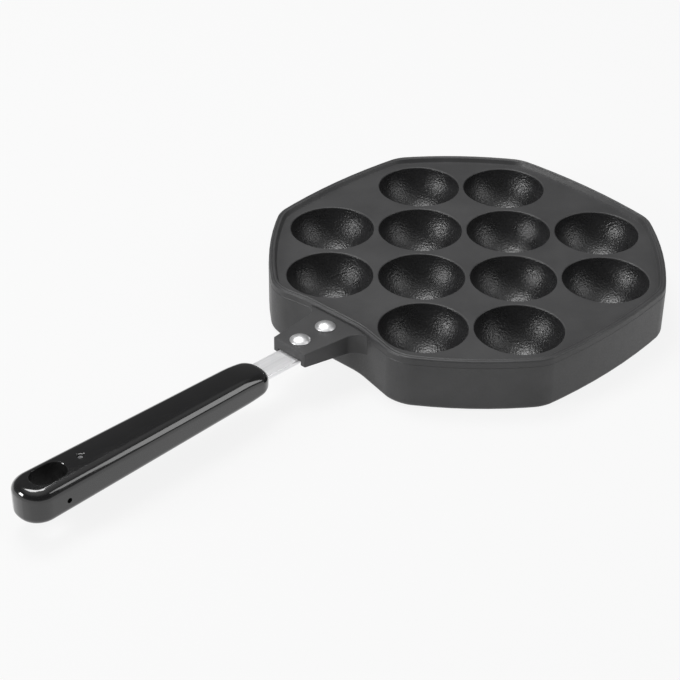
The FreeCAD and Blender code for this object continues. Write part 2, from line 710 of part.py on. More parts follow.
def makePin():
    """Steel pin that locks the grip on the strap."""
    body = newBody("grip_pin")
    plan = newSketch(body, "pin_plan", "XY_Plane", {"z": pinFoot})
    drawCircle(plan, Vector(228.2, 0, 0), pinPlace, "Sizes.pin_radius")
    length = f"{gripTop} - Sizes.pin_recess - {pinFoot}"
    shaft = feature(body, "Pad", "pin_shaft", {"Length": length}, Profile=plan)
    ends = (shaft.Shape.BoundBox.ZMin, shaft.Shape.BoundBox.ZMax)
    dress(
        body,
        "Chamfer",
        "pin_ends",
        shaft,
        lambda edge: any(isLevel(edge, height) for height in ends),
        {"Size": "Sizes.pin_chamfer"},
    )
    return body


def finish(body):
    doc.recompute()
    for item in doc.Objects:
        if "Invalid" in item.State or "Error" in item.State:
            raise RuntimeError(f"{item.Name} is {item.State}")
    shape = body.Shape
    if shape.isNull() or not shape.isValid():
        raise RuntimeError(f"{body.Label} has no valid shape")
    shape.exportStep(f"parts/{body.Label}.step")
    print(body.Label, round(shape.Volume), "mm3,", len(shape.Solids), "solid")


os.makedirs("parts", exist_ok=True)
finish(makePan())
finish(makeStrap())
for name, place in rivetPlaces.items():
    finish(makeRivet(name, place))
finish(makeGrip())
finish(makePin())
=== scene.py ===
import bpy, math
from mathutils import Matrix, Vector


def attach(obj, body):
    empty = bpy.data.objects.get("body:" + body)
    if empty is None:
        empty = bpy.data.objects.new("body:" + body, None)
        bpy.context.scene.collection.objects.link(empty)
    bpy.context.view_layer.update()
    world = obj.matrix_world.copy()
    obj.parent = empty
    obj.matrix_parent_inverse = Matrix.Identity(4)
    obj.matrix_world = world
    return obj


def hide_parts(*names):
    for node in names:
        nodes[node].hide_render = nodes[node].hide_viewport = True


# Takoyaki pan: a dark cast pan, a steel strap under its lug and a glossy moulded grip.
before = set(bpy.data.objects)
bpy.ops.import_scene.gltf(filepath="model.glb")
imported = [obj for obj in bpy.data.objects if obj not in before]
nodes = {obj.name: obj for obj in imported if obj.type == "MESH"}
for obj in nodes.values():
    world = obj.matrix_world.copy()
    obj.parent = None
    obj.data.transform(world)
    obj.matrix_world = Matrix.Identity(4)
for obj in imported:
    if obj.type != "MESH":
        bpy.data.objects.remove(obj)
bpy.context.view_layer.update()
bpy.ops.object.select_all(action="DESELECT")
mm = 0.001


def activate(piece):
    bpy.ops.object.select_all(action="DESELECT")
    piece.select_set(True)
    bpy.context.view_layer.objects.active = piece


def editSelected(piece, verts=None, edges=None, faces=None):
    # enters edit mode with only what the tests pick selected
    activate(piece)
    bpy.ops.object.mode_set(mode="EDIT")
    bpy.ops.mesh.select_mode(type="FACE" if faces else "EDGE" if edges else "VERT")
    bpy.ops.mesh.select_all(action="DESELECT")
    bpy.ops.object.mode_set(mode="OBJECT")
    mesh = piece.data
    if verts:
        for vert in mesh.vertices:
            vert.select = bool(verts(vert.co))
    if edges:
        for edge in mesh.edges:
            edge.select = bool(edges(*[mesh.vertices[i].co for i in edge.vertices]))
    if faces:
        for face in mesh.polygons:
            face.select = bool(faces(face))
    bpy.ops.object.mode_set(mode="EDIT")


def endEdit():
    bpy.ops.object.mode_set(mode="OBJECT")


def applyModifiers(piece):
    activate(piece)
    for modifier in list(piece.modifiers):
        bpy.ops.object.modifier_apply(modifier=modifier.name)


def joined(pieces):
    activate(pieces[0])
    for piece in pieces[1:]:
        piece.select_set(True)
    bpy.ops.object.join()
    return pieces[0]


def cut(piece, cutters, operation="DIFFERENCE"):
    # one boolean for each shape, which is then removed
    for cutter in cutters:
        modifier = piece.modifiers.new("cut", "BOOLEAN")
        modifier.operation = operation
        modifier.object = cutter
        modifier.solver = "MANIFOLD"
    applyModifiers(piece)
    for cutter in cutters:
        bpy.data.objects.remove(cutter)


def editAll(piece):
    editSelected(piece)
    bpy.ops.mesh.select_all(action="SELECT")


def outwards(piece):
    editAll(piece)
    bpy.ops.mesh.remove_doubles(threshold=0.002 * mm)
    bpy.ops.mesh.delete_loose(use_verts=False, use_edges=True, use_faces=False)
    bpy.ops.mesh.select_all(action="SELECT")
    bpy.ops.mesh.normals_make_consistent(inside=False)
    endEdit()


def polygon(name, points, z):
    # flat outline from a circle primitive whose points are moved into place
    bpy.ops.mesh.primitive_circle_add(vertices=len(points), radius=10 * mm, fill_type="NGON")
    piece = bpy.context.object
    piece.name = piece.data.name = name
    for vert, (x, y) in zip(piece.data.vertices, points):
        vert.co = (x * mm, y * mm, z * mm)
    return piece


def climb(piece, steps):
    # carries the selected flat outline inwards and up, step by step
    for inwards, rise in steps:
        if inwards:
            bpy.ops.mesh.inset(thickness=inwards * mm, use_even_offset=True)
            bpy.ops.transform.translate(value=(0, 0, rise * mm))
        else:
            bpy.ops.mesh.extrude_region_move(TRANSFORM_OT_translate={"value": (0, 0, rise * mm)})


def turned(name, profile, steps=48):
    # spins a profile of (radius, height) round Z; it starts and ends on the axis
    bpy.ops.mesh.primitive_circle_add(vertices=len(profile), radius=10 * mm)
    piece = bpy.context.object
    piece.name = piece.data.name = name
    for vert, (radius, z) in zip(piece.data.vertices, profile):
        vert.co = (radius * mm, 0, z * mm)
    editAll(piece)
    bpy.ops.mesh.spin(steps=steps, angle=2 * math.pi, center=(0, 0, 0), axis=(0, 0, 1))
    endEdit()
    outwards(piece)
    return piece


def arc(radius, centre, start, end, count):
    # points of an arc in a profile, from one angle to another, in degrees
    angles = [math.radians(start + (end - start) * i / count) for i in range(count + 1)]
    return [(centre[0] + radius * math.cos(a), centre[1] + radius * math.sin(a)) for a in angles]


# Pan casting: outline, rim, hollow underside, cups, lug and cavities
pan = {
    "corners": [(32.1, -92.2), (89.8, -33.1), (89.8, 33.1), (32.1, 92.2), (-32.1, 92.2), (-89.8, 33.1),
                (-89.2, -37.2), (-74.1, -47.0), (-49.7, -68.9), (-33.8, -91.9)],
    "bowedWalls": {0: 285.75, 1: 184.1, 2: 285.75, 3: 173.24, 4: 285.75, 5: 184.1, 9: 173.24},  # radius
    "roundCorners": {6: 7.3, 9: 7.1},  # bevel widths where the set-back wall meets its neighbours
    "roundOthers": 4.05,
    "baseRound": 2.4,
    "skirtWall": 4.4,
    "rimTop": 25.6,
    "rimRound": 0.9,
    "wallSteps": [(0.08, 0.12), (0.07, 0.14)],  # inwards and up, where the wall draws in below the rim
    "crest": [(0.25, 0), (0.3, -0.20), (0.35, -0.06), (0.3, 0.06), (0.3, 0.18), (0.25, -0.03),
              (0.2, -0.16)],
    "slopeRun": 3.9,
    "slopeFall": 1.75,
    "footStart": 0.28,  # how much sooner the slope ends for its rounded foot
    "slopeFoot": [(0.16, -0.22), (0.2, -0.2), (0.22, -0.07)],
    "plateTop": 23.4,
    "plateUnder": 19.8,
    "stepBelowRim": 3.4,
    "pitchX": 42.4,
    "pitchY": 43.35,
    "rows": [(2, -1.5), (4, -0.5), (4, 0.5), (2, 1.5)],  # cavities in the row, and its place in pitches
    "mouth": 20.0,
    "ball": 20.006,
    "ballCentre": 23.906,
    "lip": 0.6,
    "cupBall": 24.3,
    "cupTop": 21.6,  # inside the plate
}
places = [((i - (count - 1) / 2) * pan["pitchX"], row * pan["pitchY"])
          for count, row in pan["rows"] for i in range(count)]


def panOutline(name):
    corners = pan["corners"]
    piece = polygon(name, corners, pan["baseRound"])
    spots = [Vector(corner) * mm for corner in corners]
    ends = list(zip(spots, spots[1:] + spots[:1]))
    bowed = [(ends[i][0] + ends[i][1]) / 2 for i in pan["bowedWalls"]]
    editSelected(piece, edges=lambda a, b: any(((a + b).xy / 2 - middle).length < mm for middle in bowed))
    bpy.ops.mesh.subdivide(number_cuts=7)
    endEdit()
    for i, radius in pan["bowedWalls"].items():
        a, b = ends[i]
        run = b - a
        out = Vector((run.y, -run.x)).normalized()
        radius *= mm
        depth = math.sqrt(radius**2 - run.length**2 / 4)
        for vert in piece.data.vertices:
            spot = Vector((vert.co.x, vert.co.y))
            along = (spot - a).dot(run) / run.length
            isOnWall = abs((spot - a).dot(out)) < 0.05 * mm
            if isOnWall and 0.5 * mm < along < run.length - 0.5 * mm:
                reach = along - run.length / 2
                bulge = math.sqrt(radius**2 - reach**2) - depth
                vert.co.x += out.x * bulge
                vert.co.y += out.y * bulge
    for i, corner in enumerate(corners):
        spot = Vector((corner[0] * mm, corner[1] * mm, pan["baseRound"] * mm))
        editSelected(piece, verts=lambda co: (co - spot).length < 0.1 * mm)
        wide = pan["roundCorners"].get(i, pan["roundOthers"])
        bpy.ops.mesh.bevel(offset=wide * mm, segments=9, affect="VERTICES", profile=0.5)
        endEdit()
    return piece


def roundSteps(radius, count, rising=True):
    # steps of a quarter round: from a wall over its top edge, or the reverse
    turns = [math.radians(90 * i / count) for i in range(count + 1)]
    steps = []
    for before, after in zip(turns, turns[1:]):
        inwards = radius * (math.cos(before) - math.cos(after))
        rise = radius * (math.sin(after) - math.sin(before))
        steps.append((inwards, rise) if rising else (inwards, -rise))
    return steps


def makePanShell():
    largeFace = 1e-3  # square metres: only the plate and the starting outlines are larger
    sameHeight = 1e-6
    top = panOutline("panCasting")
    wallTop = pan["rimTop"] - pan["rimRound"]
    stepAt = pan["rimTop"] - pan["stepBelowRim"]
    stepIn, stepUp = [sum(step[i] for step in pan["wallSteps"]) for i in (0, 1)]
    crestIn, crestUp = [sum(step[i] for step in pan["crest"]) for i in (0, 1)]
    editSelected(top, faces=lambda face: True)
    climb(top, [(0, stepAt - pan["baseRound"]), *pan["wallSteps"], (0, wallTop - stepAt - stepUp)])
    climb(top, roundSteps(pan["rimRound"], 5))
    # flat crest with a shallow groove along it, then the slope down to the plate
    climb(top, pan["crest"])
    slopeIn = pan["slopeRun"] - (pan["rimRound"] + crestIn + stepIn) - pan["footStart"]
    climb(top, [(slopeIn, -(pan["slopeFall"] + crestUp)), *pan["slopeFoot"]])
    endEdit()
    level = max(face.center.z for face in top.data.polygons if face.area > largeFace)
    for vert in top.data.vertices:
        if abs(vert.co.z - level) < sameHeight:
            vert.co.z = pan["plateTop"] * mm

    under = panOutline("panUnderside")
    editSelected(under, faces=lambda face: True)
    climb(under, roundSteps(pan["baseRound"], 6, rising=False))
    climb(under, [(pan["skirtWall"] - pan["baseRound"], 0), (0, pan["plateUnder"])])
    endEdit()
    shell = joined([top, under])
    # the two flat outlines that both halves started from lie inside now
    start = pan["baseRound"] * mm
    editSelected(
        shell, faces=lambda face: abs(face.center.z - start) < sameHeight and face.area > largeFace)
    bpy.ops.mesh.delete(type="FACE")
    endEdit()
    outwards(shell)
    return shell


def makeCups():
    ball = pan["cupBall"]
    centre = pan["ballCentre"]
    foot = math.sqrt(ball**2 - centre**2)
    high = pan["cupTop"]
    start = math.degrees(math.asin(-centre / ball))
    end = math.degrees(math.asin((high - centre) / ball))
    profile = [(0, 0)] + arc(ball, (0, centre), start, end, 14) + [(0, high)]
    profile[1] = (foot, 0)
    return [turnedAt(f"cup{i}", profile, place) for i, place in enumerate(places)]


def turnedAt(name, profile, place, steps=64):
    piece = turned(name, profile, steps)
    piece.data.transform(Matrix.Translation((place[0] * mm, place[1] * mm, 0)))
    return piece


def makeCavityCutters():
    ball, centre = pan["ball"], pan["ballCentre"]
    lip, plate = pan["lip"], pan["plateTop"]
    low = math.degrees(math.asin((plate - lip - centre) / ball))
    turns = [math.radians(a) for a in (180, 157, 135, 112, 90)]
    edge = [(pan["mouth"] + lip + lip * math.cos(a), plate - lip + lip * math.sin(a)) for a in turns]
    edge[-1] = (edge[-1][0], plate + 0.003)  # a hair above the plate, so that the two surfaces cross
    above = plate + 3
    profile = arc(ball, (0, centre), -90, low, 20)[:-1] + edge + [(edge[-1][0], above), (0, above)]
    return [turnedAt(f"cavity{i}", profile, place, steps=72) for i, place in enumerate(places)]


handle = {
    "angle": math.radians(226),
    "root": 84.608,
    "strapWidth": 11.8,
    "strapTop": 19.1,
    "strapThickness": 2.0,
    "rivets": {"rivet_inner": 92.708, "rivet_outer": 108.108},
    "shank": 2.55,
}
turnOut = Matrix.Rotation(handle["angle"], 4, "Z")
lug = {
    "top": 23.8,
    "end": 114.708,
    "endHalf": 9.9,
    "rootHalf": 13.0,
    "flareRound": 7.3,
    "flareReach": 22.5,
    "rootShift": 0.8,  # how much further out the pan's wall stands on one side
    "bite": 1.6,  # how deep the lug starts inside the wall
    "rootThickness": 9.4,
    "endThickness": 6.6,
    "slopeStart": 2.4,
    "edgeRound": 0.55,
    "channelStart": 87.0,
    "channelHalf": 7.3,
    "channelFoot": 8,  # below the lug
    "holeEnds": (15, 26),  # inside the channel and above the lug
}


def makeLug():
    left, right = handle["root"], handle["root"] + lug["rootShift"]
    inside = left - lug["bite"]
    wide, half, end = lug["flareReach"], lug["rootHalf"], lug["end"]
    corners = [(inside, -wide), (left, -wide), (left, -half), (end, -lug["endHalf"]), (end, lug["endHalf"]),
               (right, half), (right, wide), (inside, wide)]
    piece = polygon("lug", corners, lug["top"] - lug["rootThickness"])
    editSelected(piece, verts=lambda co: co.x < (right + 1) * mm and abs(abs(co.y) - half * mm) < 0.1 * mm)
    turnAngle = math.radians(90) - math.atan((half - lug["endHalf"]) / (end - left))
    flare = lug["flareRound"] * math.tan(turnAngle / 2) * mm
    bpy.ops.mesh.bevel(offset=flare, segments=9, affect="VERTICES", profile=0.5)
    endEdit()
    editSelected(piece, faces=lambda face: True)
    climb(piece, [(0, lug["rootThickness"])])
    endEdit()
    outwards(piece)
    thinFrom = left + lug["slopeStart"]
    slope = (lug["rootThickness"] - lug["endThickness"]) / (end - left - lug["slopeStart"])
    halfway = (lug["top"] - lug["rootThickness"] / 2) * mm
    for vert in piece.data.vertices:
        if vert.co.z < halfway:
            vert.co.z += max(0, vert.co.x - thinFrom * mm) * slope

    def isRounded(a, b):
        # the top face's edges and the upright ones at the far end, past the flares
        isPastFlare = min(a.x, b.x) > (right + 1) * mm
        isOnTop = min(a.z, b.z) > (lug["top"] - 0.01) * mm
        isUpright = abs(a.x - b.x) < 0.01 * mm and abs(a.y - b.y) < 0.01 * mm
        return isPastFlare and (isOnTop or (isUpright and a.x > (end - 1) * mm))

    editSelected(piece, edges=isRounded)
    bpy.ops.mesh.bevel(offset=lug["edgeRound"] * mm, segments=3, profile=0.5)
    endEdit()
    piece.data.transform(turnOut)
    return piece


def boxOf(name, xs, half, zs):
    bpy.ops.mesh.primitive_cube_add(size=1)
    piece = bpy.context.object
    piece.name = piece.data.name = name
    for vert in piece.data.vertices:
        side = [(1 if value > 0 else 0) for value in vert.co]
        vert.co = (xs[side[0]] * mm, (half if side[1] else -half) * mm, zs[side[2]] * mm)
    return piece


def makePan():
    shell = makePanShell()
    cut(shell, makeCups(), "UNION")
    cut(shell, [makeLug()], "UNION")
    print("pan with cups and lug")
    cut(shell, [joined(makeCavityCutters())])
    ends = (lug["channelStart"], lug["end"] + 2)
    channel = boxOf("channel", ends, lug["channelHalf"], (lug["channelFoot"], handle["strapTop"]))
    channel.data.transform(turnOut)
    low, high = lug["holeEnds"]
    drill = [(0, low), (handle["shank"], low), (handle["shank"], high), (0, high)]
    holes = [turned("rivetHole" + name, drill, steps=32) for name in handle["rivets"]]
    for hole, place in zip(holes, handle["rivets"].values()):
        hole.data.transform(turnOut @ Matrix.Translation((place * mm, 0, 0)))
    cut(shell, [channel, joined(holes)])
    outwards(shell)
    print("pan cut")
    return shell


def smoothed(piece, angle=32):
    activate(piece)
    bpy.ops.object.shade_smooth_by_angle(angle=math.radians(angle))
    modifier = piece.modifiers.new("normals", "WEIGHTED_NORMAL")
    modifier.keep_sharp = True
    applyModifiers(piece)


# Grip: a tapered bar with a falling nose, rounded all over, then its holes
grip = {
    "start": 131.008,
    "end": 259.508,
    "top": 24.0,
    "widths": (17.4, 20.8),
    "heights": (12.4, 15.6),
    "noseLength": 17.0,
    "noseDrop": 2.6,
    "noseLift": 1.6,
    "noseRound": 7.0,
    "endRound": 9.8,
    "crown": 1.1,  # how far the top falls from its middle to the sides
    "topRound": 3.8,
    "bottomRound": 3.2,
    "hangStart": 236.008,
    "hangEnd": 252.008,
    "hangHalf": 5.5,
    "hangRound": 0.8,
    "pinAt": 228.208,
    "pinRadius": 1.25,
    "pinFoot": 14.1,
    "dimpleRadius": 2.15,
    "dimpleDepth": 0.35,
    "sideHoleAt": 242.008,
    "sideHoleHeight": 14.9,
    "sideHoleRadius": 1.15,
    "sideHoleDepth": 3.0,
    "slotEnd": 232.108,
    "slotGap": 0.1,  # round the strap
}


def crossCut(piece, place, direction):
    editAll(piece)
    bpy.ops.mesh.bisect(plane_co=place, plane_no=direction)
    endEdit()


def makeGrip():
    start, end, top = grip["start"], grip["end"], grip["top"]
    length, nose = end - start, grip["noseLength"]
    narrow, wide = [width / 2 for width in grip["widths"]]
    piece = polygon("gripMoulding", [(start, -narrow), (end, -wide), (end, wide), (start, narrow)], 0)
    for at, radius in ((start, grip["noseRound"]), (end, grip["endRound"])):
        editSelected(piece, verts=lambda co: abs(co.x - at * mm) < 0.01 * mm)
        bpy.ops.mesh.bevel(offset=radius * mm, segments=12, affect="VERTICES", profile=0.5)
        endEdit()
    block = 16  # height until the top and the underside are moved to their places
    editSelected(piece, faces=lambda face: True)
    climb(piece, [(0, block)])
    endEdit()
    outwards(piece)
    for height, radius in ((block, grip["topRound"]), (0, grip["bottomRound"])):
        editSelected(piece, edges=lambda a, b: abs(a.z - height * mm) + abs(b.z - height * mm) < 0.01 * mm)
        bpy.ops.mesh.bevel(offset=radius * mm, segments=8, profile=0.5)
        endEdit()

    # cross cuts, close together over the nose, that let it fall away, and long ones for the crown
    noseParts, barParts = 12, 7
    cuts = [start + nose * (i + 1) / noseParts for i in range(noseParts)]
    cuts += [start + nose + (length - nose) * i / barParts for i in range(1, barParts)]
    for at in cuts:
        crossCut(piece, (at * mm, 0, 0), (1, 0, 0))
    for side in range(-9, 10, 3):
        crossCut(piece, (0, side * mm, 0), (0, 1, 0))
    for vert in piece.data.vertices:
        along = vert.co.x / mm - start
        fall = max(0, 1 - along / nose) ** 2
        topHere = top - grip["noseDrop"] * fall - grip["crown"] * (vert.co.y / mm / wide) ** 2
        deep = grip["heights"][0] + (grip["heights"][1] - grip["heights"][0]) * along / length
        underHere = top - deep + grip["noseLift"] * fall
        if vert.co.z > block / 2 * mm:
            vert.co.z += (topHere - block) * mm
        else:
            vert.co.z += underHere * mm
    cut(piece, gripCutters())
    outwards(piece)
    piece.data.transform(turnOut)
    return piece


def hangCutters():
    # the hanging hole's two halves, each flared where it leaves the grip
    rim = grip["hangRound"]
    wide = grip["hangHalf"] + rim
    left, right = grip["hangStart"] - rim, grip["hangEnd"] + rim
    centre = (grip["hangStart"] + grip["hangEnd"]) / 2
    slope = (grip["heights"][1] - grip["heights"][0]) / (grip["end"] - grip["start"])
    under = grip["top"] - grip["heights"][1] + slope * (grip["end"] - centre)
    quarter = [math.radians(15 * i) for i in range(7)]
    flare = [(rim * (math.sin(b) - math.sin(a)), rim * (math.cos(a) - math.cos(b)))
             for a, b in zip(quarter, quarter[1:])]
    outside, inside = 2, 8  # how far each half starts outside the grip, and how far it goes in
    flipped = Matrix.Translation((0, 0, grip["top"] * mm)) @ Matrix.Scale(-1, 4, (0, 0, 1))
    halves = []
    for name in ("hangUnder", "hangTop"):
        piece = polygon(name, [(left, -wide), (right, -wide), (right, wide), (left, wide)], -outside)
        editSelected(piece, verts=lambda co: True)
        bpy.ops.mesh.bevel(offset=(wide - 0.02) * mm, segments=20, affect="VERTICES", profile=0.5)
        endEdit()
        editSelected(piece, faces=lambda face: True)
        climb(piece, [(0, outside)] + flare + [(0, inside)])
        endEdit()
        if name == "hangTop":
            piece.data.transform(flipped)
        else:
            for vert in piece.data.vertices:
                vert.co.z += (under - slope * (vert.co.x / mm - centre)) * mm
        outwards(piece)
        halves.append(piece)
    return halves


def pinCutter():
    # the pin's hole, with the ring-shaped dimple round its end
    foot, radius, ring = grip["pinFoot"], grip["pinRadius"], grip["dimpleRadius"]
    floor = grip["top"] - grip["dimpleDepth"]
    above = grip["top"] + 1
    dimple = [(ring - 0.45, floor), (ring - 0.2, floor + 0.06), (ring, floor + 0.22),
              (ring + 0.12, floor + 0.4), (ring + 0.12, above)]
    piece = turned("pinHole", [(0, foot), (radius, foot), (radius, floor), *dimple, (0, above)], steps=40)
    piece.data.transform(Matrix.Translation((grip["pinAt"] * mm, 0, 0)))
    return piece


def sideCutter():
    radius, drill = grip["sideHoleRadius"], 8
    piece = turned("sideHole", [(0, 0), (radius, 0), (radius, drill), (0, drill)], steps=32)
    narrow, wide = grip["widths"]
    share = (grip["sideHoleAt"] - grip["start"]) / (grip["end"] - grip["start"])
    face = (narrow + (wide - narrow) * share) / 2
    place = Vector((grip["sideHoleAt"], face - grip["sideHoleDepth"], grip["sideHoleHeight"])) * mm
    piece.data.transform(Matrix.Translation(place) @ Matrix.Rotation(math.radians(-90), 4, "X"))
    return piece


def gripCutters():
    cutters = [*hangCutters(), pinCutter(), sideCutter()]
    gap = grip["slotGap"]
    ends = (grip["start"] - 2, grip["slotEnd"])
    heights = (handle["strapTop"] - handle["strapThickness"] - gap, handle["strapTop"] + gap)
    return [*cutters, boxOf("tangSlot", ends, handle["strapWidth"] / 2 + gap, heights)]


rivet = {  # radius, and height above the strap's underside or above the lug
    "tail": [(0, -1.3), (1.2, -1.24), (2.4, -1.02), (3.4, -0.66), (3.8, -0.36),
             (3.9, -0.2), (3.9, 0), (2.5, 0)],
    "brim": [(2.5, 0), (4.55, 0), (4.6, 0.06), (4.6, 0.3), (4.5, 0.42)],
    "dome": [(4.35, 0.5), (4.1, 0.72), (3.7, 1.02), (3.2, 1.3), (2.6, 1.55), (1.9, 1.76), (1.2, 1.9),
             (0.5, 1.98), (0, 2.0)],
}


def makeRivet(node):
    # domed head with a thin flat brim, a shank and a flatter tail below the strap
    top, under = lug["top"], handle["strapTop"] - handle["strapThickness"]
    profile = [(radius, under + z) for radius, z in rivet["tail"]]
    profile += [(radius, top + z) for radius, z in rivet["brim"] + rivet["dome"]]
    piece = turned(node + "Head", profile, steps=56)
    piece.data.transform(turnOut @ Matrix.Translation((handle["rivets"][node] * mm, 0, 0)))
    return piece


# Materials
def newMaterial(name, **settings):
    material = bpy.data.materials.new(name)
    material.use_nodes = True
    tree = material.node_tree
    shader = tree.nodes["Principled BSDF"]
    for word, value in settings.items():
        shader.inputs[word.replace("_", " ")].default_value = value
    return material, tree, shader


def addNode(tree, kind, **settings):
    # words that begin with a capital are sockets, the others are the node's own settings
    node = tree.nodes.new("ShaderNode" + kind)
    for word, value in settings.items():
        if word[0].isupper():
            node.inputs[word.replace("_", " ")].default_value = value
        else:
            setattr(node, word, value)
    return node


def placed(tree, turn=0.0, stretch=(1, 1, 1)):
    # object coordinates, turned to the handle's direction and stretched
    spot = addNode(tree, "TexCoord")
    rotated = addNode(tree, "Mapping", Rotation=(0, 0, -turn))
    sized = addNode(tree, "Mapping", Scale=stretch)
    tree.links.new(spot.outputs["Object"], rotated.inputs["Vector"])
    tree.links.new(rotated.outputs["Vector"], sized.inputs["Vector"])
    return sized.outputs["Vector"]


def noise(tree, where, scale, detail=3.0, roughness=0.5):
    texture = addNode(tree, "TexNoise", Scale=scale, Detail=detail, Roughness=roughness)
    tree.links.new(where, texture.inputs["Vector"])
    return texture.outputs["Fac"]


def spread(tree, value, low, high, start=0.3, end=0.7):
    # turns a texture's values into a number between low and high
    ranged = addNode(tree, "MapRange", From_Min=start, From_Max=end, To_Min=low, To_Max=high)
    tree.links.new(value, ranged.inputs["Value"])
    return ranged.outputs["Result"]


def tinted(tree, value, dark, light, start=0.3, end=0.7):
    # colour between two greys, picked by a texture's value
    ramp = addNode(tree, "ValToRGB")
    ramp.color_ramp.elements[0].color = (*dark, 1)
    ramp.color_ramp.elements[1].color = (*light, 1)
    ramp.color_ramp.elements[0].position = start
    ramp.color_ramp.elements[1].position = end
    tree.links.new(value, ramp.inputs["Fac"])
    return ramp.outputs["Color"]


def bumped(tree, shader, value, height, strength=1.0, before=None):
    bump = addNode(tree, "Bump", Strength=strength, Distance=height * mm)
    tree.links.new(value, bump.inputs["Height"])
    if before:
        tree.links.new(before, bump.inputs["Normal"])
    tree.links.new(bump.outputs["Normal"], shader.inputs["Normal"])
    return bump.outputs["Normal"]


coating = {
    "dark": (0.036, 0.036, 0.037),
    "light": (0.056, 0.056, 0.057),
    # the bowls' greys are darker than the plate's: painted shade of the hollows
    "cavityPaintedShadeDark": (0.008, 0.008, 0.0085),
    "cavityPaintedShadeLight": (0.030, 0.030, 0.031),
    "grain": 1500,  # grains per metre across the coated casting
    "cavityGrain": 1250,
}


def panCoating():
    # satin coat over a fine cast surface, with slow changes in tone
    material, tree, shader = newMaterial("panCoating", Specular_IOR_Level=0.5)
    where = placed(tree)
    cloudy = noise(tree, where, scale=38, detail=5, roughness=0.6)
    fine = noise(tree, where, scale=coating["grain"], detail=2, roughness=0.6)
    tree.links.new(tinted(tree, cloudy, coating["dark"], coating["light"]), shader.inputs["Base Color"])
    tree.links.new(spread(tree, fine, low=0.40, high=0.54), shader.inputs["Roughness"])
    pitted = bumped(tree, shader, fine, height=0.022, strength=0.8)
    uneven = noise(tree, where, scale=420, detail=3, roughness=0.5)
    bumped(tree, shader, uneven, height=0.02, strength=0.5, before=pitted)
    return material


def cavityCoatingWithPaintedShade():
    # the bowls are coarser: the coat stands in small beads that catch the light; their darker colour is
    # painted shade of the hollows, and the grain in it is the coat's own
    material, tree, shader = newMaterial("cavityCoatingWithPaintedShade", Specular_IOR_Level=0.62)
    where = placed(tree)
    beads = addNode(tree, "TexVoronoi", Scale=coating["cavityGrain"], Randomness=1.0, feature="SMOOTH_F1")
    tree.links.new(where, beads.inputs["Vector"])
    fine = noise(tree, where, scale=coating["cavityGrain"] * 1.6, detail=3, roughness=0.65)
    patches = noise(tree, where, scale=160, detail=3, roughness=0.6)
    # greys darker than the plate's, varied by the grain: painted shade in the bowls
    tone = tinted(tree, fine, coating["cavityPaintedShadeDark"], coating["cavityPaintedShadeLight"])
    tree.links.new(tone, shader.inputs["Base Color"])
    tree.links.new(spread(tree, patches, low=0.24, high=0.36), shader.inputs["Roughness"])
    beaded = bumped(tree, shader, beads.outputs["Distance"], height=0.19, strength=0.9)
    bumped(tree, shader, fine, height=0.12, strength=0.9, before=beaded)
    return material


def gripPhenolic():
    # polished black moulding, hardly uneven, with faint rubbing marks along it
    material, tree, shader = newMaterial(
        "gripPhenolic", Specular_IOR_Level=0.5, Coat_Weight=0.7, Coat_Roughness=0.03)
    where = placed(tree, handle["angle"])
    along = placed(tree, handle["angle"], (0.12, 1, 1))
    cloudy = noise(tree, where, scale=30, detail=4, roughness=0.55)
    rubbed = noise(tree, along, scale=1500, detail=3, roughness=0.6)
    tone = tinted(tree, cloudy, (0.006, 0.006, 0.0065), (0.011, 0.011, 0.0115))
    tree.links.new(tone, shader.inputs["Base Color"])
    tree.links.new(spread(tree, rubbed, low=0.07, high=0.16), shader.inputs["Roughness"])
    uneven = noise(tree, where, scale=95, detail=2, roughness=0.4)
    bumped(tree, shader, uneven, height=0.03, strength=0.25)
    return material


def brushedSteel():
    # strap steel, rolled and brushed along its length
    material, tree, shader = newMaterial("brushedSteel", Metallic=1.0)
    brushed = placed(tree, handle["angle"], (0.02, 1, 1))
    streaks = noise(tree, brushed, scale=2600, detail=4, roughness=0.65)
    rolled = placed(tree, handle["angle"], (0.3, 1, 1))
    patches = noise(tree, rolled, scale=120, detail=4, roughness=0.6)
    tone = tinted(tree, streaks, (0.80, 0.80, 0.81), (0.95, 0.95, 0.96))
    tree.links.new(tone, shader.inputs["Base Color"])
    tree.links.new(spread(tree, patches, low=0.34, high=0.46), shader.inputs["Roughness"])
    bumped(tree, shader, streaks, height=0.012, strength=0.5)
    return material


def rivetSteel():
    # bright pressed heads with tiny dents from the rivet set
    material, tree, shader = newMaterial("rivetSteel", Metallic=1.0)
    where = placed(tree)
    dents = noise(tree, where, scale=700, detail=3, roughness=0.55)
    tone = tinted(tree, dents, (0.90, 0.90, 0.91), (0.97, 0.97, 0.98))
    tree.links.new(tone, shader.inputs["Base Color"])
    satin = noise(tree, where, scale=2400, detail=2)
    tree.links.new(spread(tree, satin, low=0.32, high=0.46), shader.inputs["Roughness"])
    bumped(tree, shader, dents, height=0.02, strength=0.5)
    return material


def pinSteel():
    # dull steel, worn in patches
    material, tree, shader = newMaterial("pinSteel", Metallic=1.0)
    worn = noise(tree, placed(tree), scale=1500, detail=4, roughness=0.6)
    tone = tinted(tree, worn, (0.10, 0.10, 0.105), (0.24, 0.24, 0.245))
    tree.links.new(tone, shader.inputs["Base Color"])
    tree.links.new(spread(tree, worn, low=0.3, high=0.5), shader.inputs["Roughness"])
    bumped(tree, shader, worn, height=0.01, strength=0.6)
    return material


